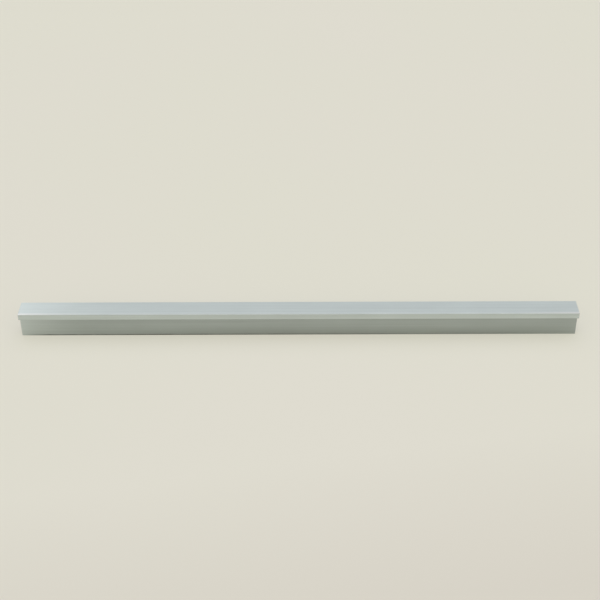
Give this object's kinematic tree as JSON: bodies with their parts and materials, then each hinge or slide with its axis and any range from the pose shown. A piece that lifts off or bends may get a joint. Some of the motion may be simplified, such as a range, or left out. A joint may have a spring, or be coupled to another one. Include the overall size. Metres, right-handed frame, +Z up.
{
  "type": "furniture handle",
  "caption": "Long aluminium edge-cap handle: a channel that caps the top edge of a cabinet door or drawer front, its top flange running forward into a down-turned finger lip.",
  "frame": {"origin": "middle of the base, on the plane of the two walls' feet, halfway along the length", "axes": "+X along the length, +Y from the finger lip to the back, +Z up, as it caps a front's top edge"},
  "size_m": [0.796, 0.0308, 0.043],
  "materials": {
    "satin_anodised": "satin anodised, natural silver, with faint extrusion lines along its length"
  },
  "bodies": {
    "root": {"handle_profile": "satin_anodised"}
  },
  "joints": []
}
